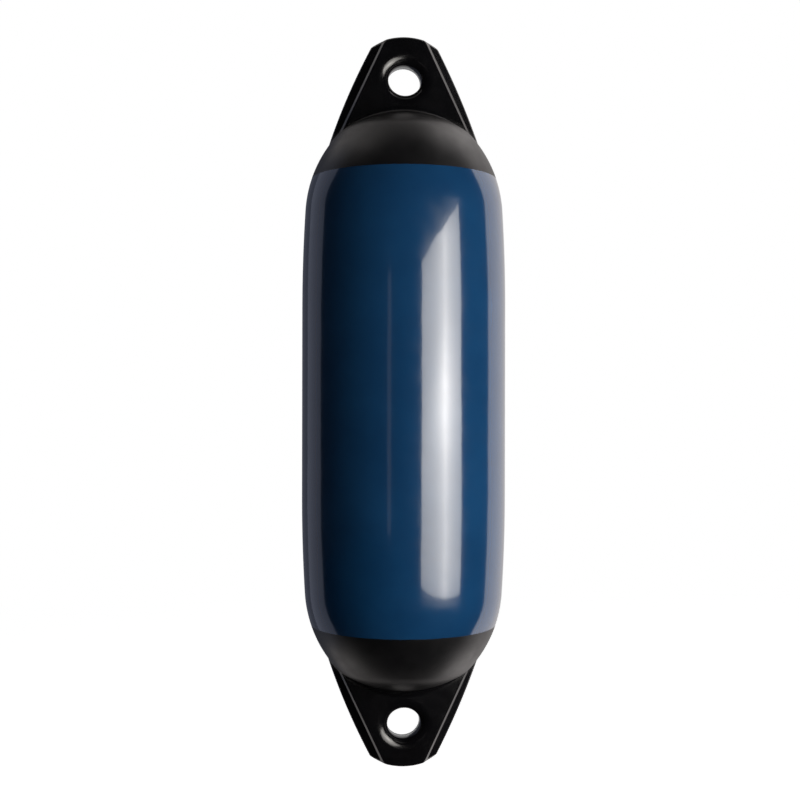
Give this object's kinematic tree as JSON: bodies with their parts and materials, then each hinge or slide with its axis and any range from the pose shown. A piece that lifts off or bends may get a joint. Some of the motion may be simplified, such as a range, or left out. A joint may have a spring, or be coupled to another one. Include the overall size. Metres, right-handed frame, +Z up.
{
  "type": "inflatable boat fender",
  "caption": "Slender inflatable boat fender: a sealed glossy vinyl tube with domed ends, each carrying a flat flared ear with a rope eye.",
  "frame": {"origin": "centre of the upper eye, on the fender's axis and midway between the ear's two faces, where the fender hangs", "axes": "+Z up the fender's axis, from the lower eye to the upper one; the ears' flat faces look along -Y, the front, and +Y, the back, where the valve is"},
  "size_m": [0.126, 0.126, 0.45],
  "materials": {
    "moulded_vinyl": "glossy rotationally moulded soft vinyl: deep blue between the two colour rings, black on the domed ends and ears",
    "valve_nylon": "satin black moulded nylon",
    "plug_nylon": "satin dark grey moulded nylon"
  },
  "bodies": {
    "root": {"fender_body": "moulded_vinyl", "inflation_valve": "valve_nylon", "valve_plug": "plug_nylon"}
  },
  "joints": []
}
